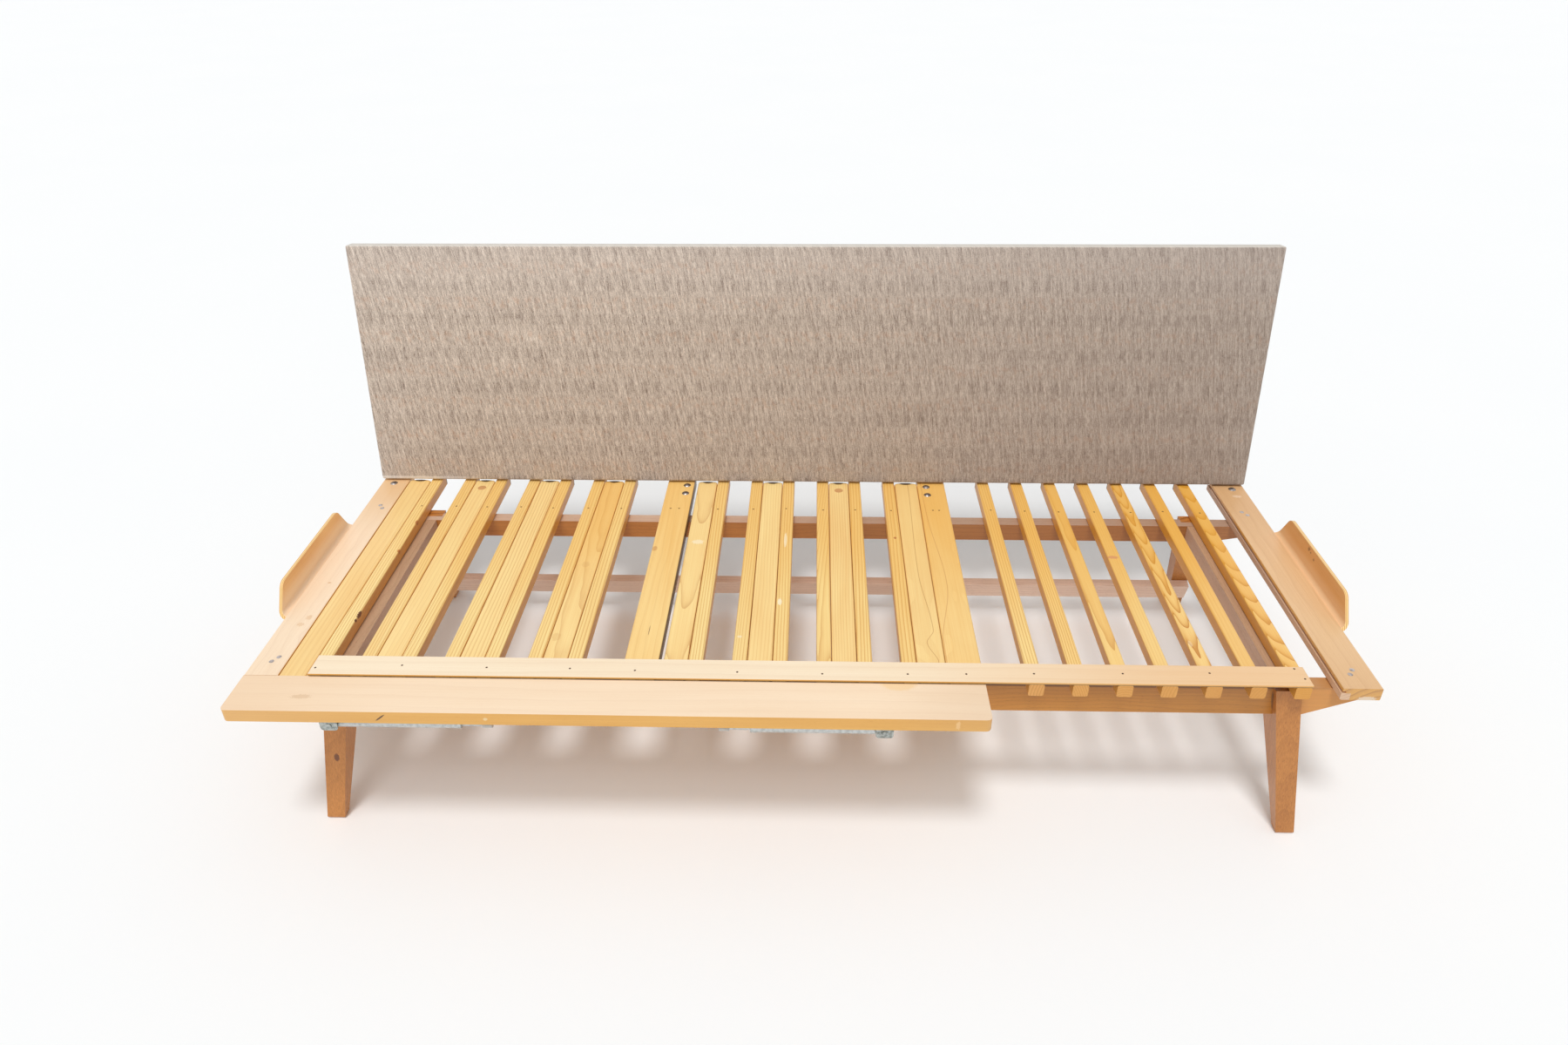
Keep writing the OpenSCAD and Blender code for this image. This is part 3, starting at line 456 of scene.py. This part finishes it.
# Strip over the slats' front ends. Thin beech, nailed down through every few slats by hand, so
# that the nails wander. A second row, varnished over, nails the slats to the rear rail.
dress("slat_end_strip", timber(
    "slat_end_strip", seen(255, 240, 212), seen(236, 200, 158), along="X", ring=0.02, sway=0.01,
    heart=(-0.1, -0.08), line=0.1, streak=0.2, mottle=0.2, fleck=0.1, face=("Z", 1),
    other=beech_edge, marks=[
        fade("X", 0.0, 0.75, seen(232, 176, 108), 0.62),
        # Painted shadow: a dark band at the bottom of the strip's edges, where it sits on the
        # slats.
        fade("Z", deck_top_z + 0.0022, deck_top_z + 0.0008, shade_brown, 0.8)]), edge=0.0005)


def nail_steel(name, color):
    material, shader, place = finish(name)
    shader.inputs["Metallic"].default_value = 0.3
    feed(shader, "Base Color", blend(place.noise((0.001,) * 3), color, seen(50, 34, 24)))
    feed(shader, "Roughness", place.noise((0.002,) * 3) * 0.4 + 0.40)
    return material


def nail_heads(name, places, radius, material, body):
    """Flat nail heads with a rounded rim, just proud of the wood."""
    sides, sink, proud = 12, 0.0004, 0.00025
    rings = [(radius, -sink), (radius, proud * 0.3), (radius * 0.75, proud),
             (radius * 0.25, proud * 0.8)]
    points, faces = [], []
    for centre in places:
        start = len(points)
        for reach, height in rings:
            points += [(centre[0] + reach * math.cos(math.tau * step / sides),
                        centre[1] + reach * math.sin(math.tau * step / sides),
                        centre[2] + height) for step in range(sides)]
        for level_index in range(len(rings) - 1):
            for step in range(sides):
                a = start + level_index * sides + step
                b = start + level_index * sides + (step + 1) % sides
                faces.append((a, b, b + sides, a + sides))
        faces.append(tuple(start + (len(rings) - 1) * sides + step for step in range(sides)))
        faces.append(tuple(start + step for step in reversed(range(sides))))
    mesh = bpy.data.meshes.new(name)
    mesh.from_pydata(points, [], faces)
    mesh.materials.append(material)
    mesh.shade_smooth()
    piece = bpy.data.objects.new(name, mesh)
    bpy.context.scene.collection.objects.link(piece)
    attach(piece, body)


strip_nail, slat_nail = 0.0019, 0.0021
rusty = nail_steel("rusty_nail", seen(112, 74, 50))
strip_top_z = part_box("slat_end_strip")[1].z
strip_nails = [(-0.833, 0.016), (-0.687, 0.025), (-0.541, 0.022), (-0.399, 0.022), (-0.288, 0.019),
               (-0.115, 0.018), (0.028, 0.016), (0.171, 0.018), (0.269, 0.020), (0.382, 0.023),
               (0.530, 0.026), (0.675, 0.030), (0.820, 0.044), (0.828, 0.018)]
nail_heads("strip_nails", [(x, slat_ends_y + y, strip_top_z) for x, y in strip_nails],
           strip_nail, rusty, "base")
slat_nail_reach, wander = 0.563, 0.003
slat_nails = []
for count in range(1, fixed_slats + 1):
    low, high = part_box(f"fixed_slat_{count:02d}")
    slat_nails.append(((low.x + high.x) / 2 + random.uniform(-wander, wander),
                       slat_ends_y + slat_nail_reach + random.uniform(-wander, wander), high.z))
board_nails = (-0.293, -0.275, 0.264, 0.277)
slat_nails += [(x, slat_ends_y + slat_nail_reach, deck_top_z) for x in board_nails]
varnished = nail_steel("varnished_nail", seen(196, 140, 70))
nail_heads("slat_nails", slat_nails, slat_nail, varnished, "base")


# Side lips. Beech plywood moulded in one bend and let into the side boards' edges, its outer sheet
# stained orange-brown, with pale and dark sheets showing on the edge.
sheet_thick = 0.0016
# Bruises on the right lip: how far behind its middle, how far below its top, and their size.
bruises = [(0.030, 0.008, 0.0060), (0.021, 0.011, 0.0032), (0.004, 0.016, 0.0036)]


def moulded_ply(node):
    """Moulded plywood, painted paler inside at its foot, as painted light bounced from the board.
    """
    material, shader, place = finish(node)
    side = -1 if node.startswith("left") else 1
    low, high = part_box(node)
    split = place.split()
    fibres = place.noise((0.002, 0.18, 0.002), 3.0) - 0.5
    cloud = place.noise((0.05, 0.12, 0.05), 2.0) - 0.5
    flecks = place.noise((0.0012, 0.010, 0.0012), 1.0).ramp(0.60, 0.75)
    depth = fibres * 0.6 + cloud * 0.8 + flecks * 0.25 + 0.35
    depth = depth.clamped()
    outer = blend(depth, seen(255, 206, 138), seen(226, 157, 86))
    normal = place.out("Normal").split()
    inside = (normal.out("X") * -side).ramp(-0.4, -0.1)
    # Painted light: the inside of each lip is paler towards its foot, where light bounces up from
    # the board. The right lip is also more orange higher up.
    if side < 0:
        foot = split.out("Z").ramp(deck_top_z + 0.040, deck_top_z + 0.004) * inside
        outer = blend(foot * 0.7, outer, seen(255, 234, 206))
    else:
        foot = split.out("Z").ramp(deck_top_z + 0.030, deck_top_z + 0.006) * inside
        outer = blend(foot * 0.6, outer, seen(240, 206, 166))
        outer = blend((1 - foot) * 0.35, outer, seen(205, 140, 74))
    cut = normal.out("Y").math("ABSOLUTE").ramp(0.5, 0.8)
    cut = cut.math("MAXIMUM", normal.out("Z").ramp(0.6, 0.9) * split.out("Z").ramp(
        deck_top_z + 0.01, deck_top_z + 0.02))
    sheet = split.out("X") * side / sheet_thick
    sheets = sheet.math("PINGPONG", 1.0).ramp(0.45, 0.6)
    color = blend(cut, outer, blend(sheets, seen(255, 222, 152), seen(222, 168, 100)))
    if side > 0:
        for reach, drop, size in bruises:
            bruise = place.spot((high.x, (low.y + high.y) / 2 + reach, high.z - drop),
                                (0.01, size * 1.4, size), 0.6)
            color = blend(bruise * 0.7, color, seen(120, 66, 34))
    feed(shader, "Base Color", color)
    feed(shader, "Roughness", cloud * 0.2 + 0.38)
    emboss(shader, fibres, 0.2, 0.0003)
    shader.inputs["Coat Weight"].default_value = 0.3
    shader.inputs["Coat Roughness"].default_value = 0.2
    return material


for node in ("left_side_lip", "right_side_lip"):
    dress(node, moulded_ply(node))


# Screws, cup-head bolts and back brackets. Bright zinc on steel, scratched, and much duller on
# the screws and bolts. The bolts pass the boards and the brackets' flanges and are nutted below.
def zinc(name, bright=seen(206, 208, 206), dull=seen(140, 142, 138), wear=0.3):
    material, shader, place = finish(name)
    shader.inputs["Metallic"].default_value = 1.0
    blotch = place.noise((0.006, 0.006, 0.006), 3.0)
    scratches = place.noise((0.0006, 0.02, 0.0006), 2.0, shift=3.0).ramp(0.58, 0.72)
    depth = blotch.ramp(0.35, 0.75) * wear + scratches * 0.15
    feed(shader, "Base Color", blend(depth, bright, dull))
    feed(shader, "Roughness", blotch * 0.25 + 0.22)
    emboss(shader, blotch, 0.15, 0.0002)
    return material


steel_edge = 0.0003
dress("back_brackets", zinc("back_brackets"), edge=steel_edge)
dress("side_board_screws", zinc("side_board_screws", seen(206, 196, 192), seen(132, 118, 114),
                                wear=0.8), edge=steel_edge)
dress("carriage_bolts", zinc("carriage_bolts", seen(170, 162, 158), seen(84, 72, 68), wear=0.9),
      edge=steel_edge)


# Back panel. Foam on plywood under a stretched wool cloth, drawn round the edges and closed
# with a blind seam behind. It replaces the plain cloth, foam and plywood solids.
panel_low, panel_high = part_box("back_cover")
panel_width = panel_high.x - panel_low.x
panel_height, panel_thick, panel_round, panel_lean = 0.510, 0.034, 0.004, math.radians(8.4)
panel_foot_z = (panel_high.z - (panel_height - panel_round) * math.cos(panel_lean)
                - panel_round * (1 - math.sin(panel_lean)))
panel_foot_y = panel_low.y + panel_round * (1 - math.cos(panel_lean) - math.sin(panel_lean))
cloth_crown, cloth_sunk, cloth_round = 0.0035, 0.0015, 0.0038
seam_in, seam_depth, seam_width = 0.010, 0.0011, 0.0012
wave_depth, pull_depth, pull_reach = 0.0004, 0.0007, 0.02
hairline = 1e-6


def lines(length, cell):
    """Places of grid lines over a length, close together near its ends."""
    near = [0.0, 0.0012, 0.0025, 0.004, 0.0065, 0.0085, 0.010, 0.0115, 0.014, 0.020]
    middle = max(1, round((length - 2 * near[-1]) / cell))
    inner = [near[-1] + (length - 2 * near[-1]) * step / middle for step in range(1, middle)]
    return near + inner + [length - place for place in reversed(near)]


def cloth_point(across_panel, depth, height):
    """Moves a point of the plain slab to the padded panel's surface, in the panel's own frame."""
    size = (panel_width, panel_thick, panel_height)
    point = Vector((across_panel, depth, height))
    core = Vector([min(max(c, cloth_round), s - cloth_round) for c, s in zip(point, size)])
    if (point - core).length > hairline:
        point = core + (point - core).normalized() * cloth_round
    share_x = 1 - abs(2 * across_panel / panel_width - 1) ** 14
    share_z = 1 - abs(2 * height / panel_height - 1) ** 8
    front = 1 - depth / panel_thick
    point.y -= (cloth_crown * share_x * share_z - cloth_sunk) * front
    wave = noise.noise(Vector((across_panel * 14, depth * 20, height * 14)))
    to_edge = min(across_panel, panel_width - across_panel, height, panel_height - height)
    pull = noise.noise(Vector((across_panel * 55, 3.0, height * 55)))
    pull *= math.exp(-to_edge / pull_reach)
    point.y += wave * wave_depth * (1 if front > 0.5 else -1) + pull * pull_depth * front
    if depth > panel_thick - hairline:
        point.y -= seam_depth * math.exp(-((to_edge - seam_in) / seam_width) ** 2)
    return point


def panel_mesh():
    grid = (lines(panel_width, 0.014), lines(panel_thick, 0.010)[::2], lines(panel_height, 0.014))
    grid[1][-1] = panel_thick
    last = [len(axis) - 1 for axis in grid]
    index, points, faces = {}, [], []

    def corner(*key):
        if key not in index:
            index[key] = len(points)
            points.append(cloth_point(*(grid[axis][step] for axis, step in enumerate(key))))
        return index[key]

    for fixed in range(3):
        first, second = [axis for axis in range(3) if axis != fixed]
        for end in (0, last[fixed]):
            for i in range(last[first]):
                for j in range(last[second]):
                    quad = []
                    for step_i, step_j in ((0, 0), (1, 0), (1, 1), (0, 1)):
                        key = [0, 0, 0]
                        key[fixed], key[first], key[second] = end, i + step_i, j + step_j
                        quad.append(corner(*key))
                    outward = (end > 0) != (fixed == 1)
                    faces.append(quad if outward else quad[::-1])
    mesh = bpy.data.meshes.new("upholstered_back")
    mesh.from_pydata(points, [], faces)
    mesh.shade_smooth()
    return mesh


def wool(name):
    """Taupe wool. Pale and dark yarns run up the cloth in broken lines, rows of darker clusters of
    short dashes cross it, and rust flecks lie in the bands between the rows."""
    material, shader, place = finish(name)
    split = place.split()
    height = split.out("Z") - panel_foot_z
    unrolled = place.node("CombineXYZ", {0: split.out("X") + split.out("Y"), 2: split.out("Z")})
    yarns = unrolled.noise((0.0016, 1.0, 0.0115), 2.0, shift=5.0)
    ribs = unrolled.noise((0.0046, 1.0, 0.055), 2.0)
    specks = place.noise((0.0011, 0.0011, 0.0011), 2.0, shift=9.0)
    row_height, cluster_width, dash_width = 0.071, 0.029, 0.0042
    row = height / row_height + 0.25
    rows = (row * math.tau).math("SINE") * 0.5 + 0.5
    row_number = (row + 0.25).math("FLOOR")
    column = (split.out("X") / cluster_width + ribs * 0.6 + row_number * 0.37) * math.tau
    columns = column.math("SINE") * 0.5 + 0.5
    dash = split.out("X") / dash_width * math.tau
    dashes = dash.math("SINE") * 0.5 + 0.5
    clusters = rows.ramp(0.6, 0.95) * columns.ramp(0.4, 0.8) * (dashes.ramp(0.1, 0.7) * 0.7 + 0.3)
    tone = yarns * 1.4 + ribs * 1.1 + specks * 1.6 - 1.48
    tone = (tone - clusters * yarns.ramp(0.2, 0.55) * 0.20).clamped()
    color = blend(tone, seen(126, 108, 96), seen(238, 223, 208))
    flecks = unrolled.noise((0.010, 1.0, 0.014), 3.0, shift=2.0).ramp(0.45, 0.7)
    rust = (1 - rows).ramp(0.4, 1.0) * flecks
    color = blend(rust * 0.30, color, seen(206, 160, 128))
    # Painted shade: the cloth darkens towards the right.
    color = blend(split.out("X").ramp(-0.7, 1.1) * 0.45, color, seen(118, 102, 92))
    color = blend((1 - height.ramp(0.0, 0.5)) * 0.12, color, seen(118, 98, 84))
    color = blend(height.ramp(0.33, 0.50) * 0.10, color, seen(236, 228, 226))
    normal = place.out("Normal").split()
    # Painted light: the panel's upward-facing top edge is paler.
    color = blend(normal.out("Z").ramp(0.55, 0.95) * 0.6, color, seen(236, 232, 222))
    selvedge = (1 - height.ramp(0.005, 0.010)) * (1 - split.out("X").ramp(-0.80, -0.72))
    color = blend(selvedge * 0.7, color, seen(240, 232, 222))
    feed(shader, "Base Color", color)
    shader.inputs["Roughness"].default_value = 0.95
    shader.inputs["Specular IOR Level"].default_value = 0.15
    shader.inputs["Sheen Weight"].default_value = 0.3
    shader.inputs["Sheen Roughness"].default_value = 0.5
    emboss(shader, yarns * 0.6 + specks * 0.7, 0.6, 0.0010)
    return material


back = bpy.data.objects.new("upholstered_back", panel_mesh())
bpy.context.scene.collection.objects.link(back)
back.data.transform(Matrix.Translation((-panel_width / 2, panel_foot_y, panel_foot_z))
                    @ Matrix.Rotation(-panel_lean, 4, "X"))
back.data.materials.append(wool("taupe_wool"))
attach(back, "base")
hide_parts("back_cover", "back_pad", "back_board")


# Pull-out comb. Eight wide pine slats, planed and varnished, glued into a beech front board with
# tenons. Two have a round plug near the rear end. Painted shade lies at the slats' rear ends under
# the back panel, and painted shadow in the joint behind the board.
comb_slats = 8
wide_pine = dict(pale=seen(255, 226, 156), dark=seen(232, 172, 92), face=("Z", 1),
                 other=shaded_pine_sides)
swirl = seen(214, 160, 92)
wide_figures = {
    1: dict(tone=0.10),
    2: dict(heart=(0.08, -0.06), line=0.2, ring=0.006, tone=-0.05),
    3: dict(heart=(-0.07, -0.05), line=0.5, ring=0.005, tone=-0.12),
    4: dict(heart=(0.016, -0.050), lean=(0.01, 0.025), line=0.35, ring=0.006, sway=0.010),
    5: dict(heart=(0.002, -0.045), lean=(0.004, 0.030), line=0.45, ring=0.0075, sharp=9.0,
            tone=-0.10),
    6: dict(heart=(0.10, -0.06), line=0.25, ring=0.005, tone=-0.12),
    7: dict(heart=(0.13, -0.02), line=0.3, ring=0.005),
    8: dict(heart=(0.0, -0.075), lean=(0.01, 0.004), line=0.08, ring=0.022, sway=0.02),
}
wide_marks = {
    4: [toward_rear(0.2, 0.5, panel_shade_orange, 0.4),
        on_deck(-0.434, 0.346, (0.009, 0.011, 0.01), swirl, 0.3, 0.4),
        on_deck(-0.443, 0.115, (0.009, 0.013, 0.01), swirl, 0.3, 0.4)],
    5: [on_deck(-0.222, 0.432, (0.014, 0.008, 0.006), scraped, 0.7, 0.7)],
    8: [toward_rear(0.2, 0.5, panel_shade_orange, 0.15),
        contour([(0.218, 0.619), (0.214, 0.313), (0.226, 0.146), (0.212, 0.110), (0.227, 0.062)],
                seen(186, 128, 66), 0.6)],
}
for count in range(1, comb_slats + 1):
    node = f"pull_slat_{count}"
    low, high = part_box(node)
    figure = dict(heart=(0.09, -0.07), line=0.15, ring=0.008, mottle=0.35, sway=0.008)
    figure.update(wide_figures.get(count, {}))
    # Painted shadow: each pull slat's top is dark at its rear end, under the back panel.
    rear_end_shade = on_deck((low.x + high.x) / 2, high.y - slat_ends_y,
                       ((high.x - low.x) * 0.32, 0.0100, 0.02), shade_brown, 0.9, 0.1)
    dress(node, timber(node, **wide_pine, **figure, marks=wide_marks.get(count, []) + [rear_end_shade]))
dress("slat_plugs", timber("slat_plugs", seen(232, 180, 118), seen(182, 118, 62), along="X",
                           ring=0.003, heart=(0.05, -0.02), line=0.6), edge=0.0004)
front_low, front_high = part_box("front_board")


def on_front_edge(from_left_end, radii, tint, turned=0.0, ragged=0.3):
    """A mark on the front board's front edge, at a distance from its left end."""
    centre = (front_low.x + from_left_end, front_low.y, (front_low.z + front_high.z) / 2)
    return patch(centre, radii, tint, ragged=ragged, turned=(0, turned, 0))


old_knot = patch((front_low.x + 1.105, front_high.y, front_high.z), (0.034, 0.022, 0.01),
                 seen(246, 204, 136), 0.5, 0.2)
strip_left_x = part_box("slat_end_strip")[0].x


def joint_shadow(place):
    """Painted shadow in the joint between the front board and the strip."""
    split = place.split()
    return (split.out("Y").ramp(front_high.y - 0.0022, front_high.y - 0.0010)
            * split.out("X").ramp(strip_left_x, strip_left_x + 0.004) * 0.85)


dress("front_board", timber(
    "front_board", *pale_beech, along="X", ring=0.02, sway=0.012, heart=(-0.12, -0.10), line=0.06,
    streak=0.15, mottle=0.2, fleck=0.1, face=("Z", 1), other=beech_edge,
    marks=[on_front_edge(0.262, (0.0016, 0.01, 0.012), seen(92, 62, 40), 0.9),
           on_front_edge(1.195, (0.004, 0.006, 0.010), seen(244, 198, 132), ragged=0.8),
           on_front_edge(0.434, (0.0045, 0.004, 0.0035), seen(242, 208, 152)),
           old_knot, (joint_shadow, shade_brown),
           fade("X", -0.62, -0.95, seen(228, 184, 136), 0.3),
           fade("X", 0.10, 0.32, seen(190, 150, 110), 0.2),
           on_deck(-0.830, -0.053, (0.018, 0.006, 0.004), seen(206, 166, 120), 0.4, 0.8)]),
    edge=0.0010)


# Folding props. Zinc-plated tube on a rivet in a folded bracket, with a threaded rod for the
# height and a pale rubber tip.
for node in ("leg_hinges", "hinge_pins"):
    dress(node, zinc(node, seen(186, 190, 186), seen(124, 128, 122), wear=0.9), edge=steel_edge)
for side in ("left", "right"):
    node = f"{side}_fold_leg"
    dress(node, zinc(node, wear=0.5), edge=steel_edge)
    foot = f"{side}_leg_foot"
    rubber, shader, place = finish(f"{side}_tip_rubber")
    dust = place.noise((0.004, 0.004, 0.004), 3.0)
    feed(shader, "Base Color", blend(dust, seen(214, 213, 208), seen(176, 174, 168)))
    feed(shader, "Roughness", dust * 0.3 + 0.6)
    emboss(shader, dust, 0.3, 0.0004)
    dress(foot, rubber, edge=0.0010)


# The room. A pale floor under soft daylight from above the front, with nothing on it. The sky
# lights the piece, but the view and reflections show a brighter backdrop in its place.
floor_paint, shader, place = finish("floor")
clouds = place.noise((0.9, 0.9, 0.9), 3.0)
feed(shader, "Base Color", blend(clouds, seen(248, 250, 251), seen(251, 252, 252)))
shader.inputs["Roughness"].default_value = 0.8
shader.inputs["Specular IOR Level"].default_value = 0.1
floor_reach = 30
mesh = bpy.data.meshes.new("floor")
corners = [(-1, -1), (1, -1), (1, 1), (-1, 1)]
mesh.from_pydata([(x * floor_reach, y * floor_reach, 0) for x, y in corners], [], [(0, 1, 2, 3)])
mesh.materials.append(floor_paint)
floor = bpy.data.objects.new("floor", mesh)
bpy.context.scene.collection.objects.link(floor)

world = bpy.data.worlds.new("daylight")
world.use_nodes = True
sky = world.node_tree.nodes["Background"]
sky.inputs["Color"].default_value = (1.0, 1.0, 1.0, 1.0)
sky.inputs["Strength"].default_value = 0.53
daylight = Socket(world.node_tree, sky.outputs[0])
rays = daylight.node("LightPath", {})
backdrop = rays.node("Background", {"Color": (0.96, 0.97, 0.98, 1.0), "Strength": 1.0})
looks = rays.out("Is Camera Ray") + rays.out("Is Glossy Ray") + rays.out("Is Transmission Ray")
looks = looks.clamped()
shown = looks.node("MixShader", {0: looks, 1: daylight, 2: backdrop})
world.node_tree.links.new(shown.port, world.node_tree.nodes["World Output"].inputs["Surface"])
bpy.context.scene.world = world
# Each lamp's name, direction, strength, and how wide it looks, in degrees.
suns = [("key", (0.08, 0.33, -1.0), 1.22, 13), ("fill", (0.12, 0.75, -1.0), 0.52, 25)]
for name, direction, strength, spread in suns:
    sun = bpy.data.objects.new(name, bpy.data.lights.new(name, "SUN"))
    sun.data.energy = strength
    sun.data.angle = math.radians(spread)
    sun.rotation_mode = "QUATERNION"
    sun.rotation_quaternion = Vector(direction).to_track_quat("-Z", "Y")
    bpy.context.scene.collection.objects.link(sun)
bpy.context.scene.view_settings.view_transform = "Standard"
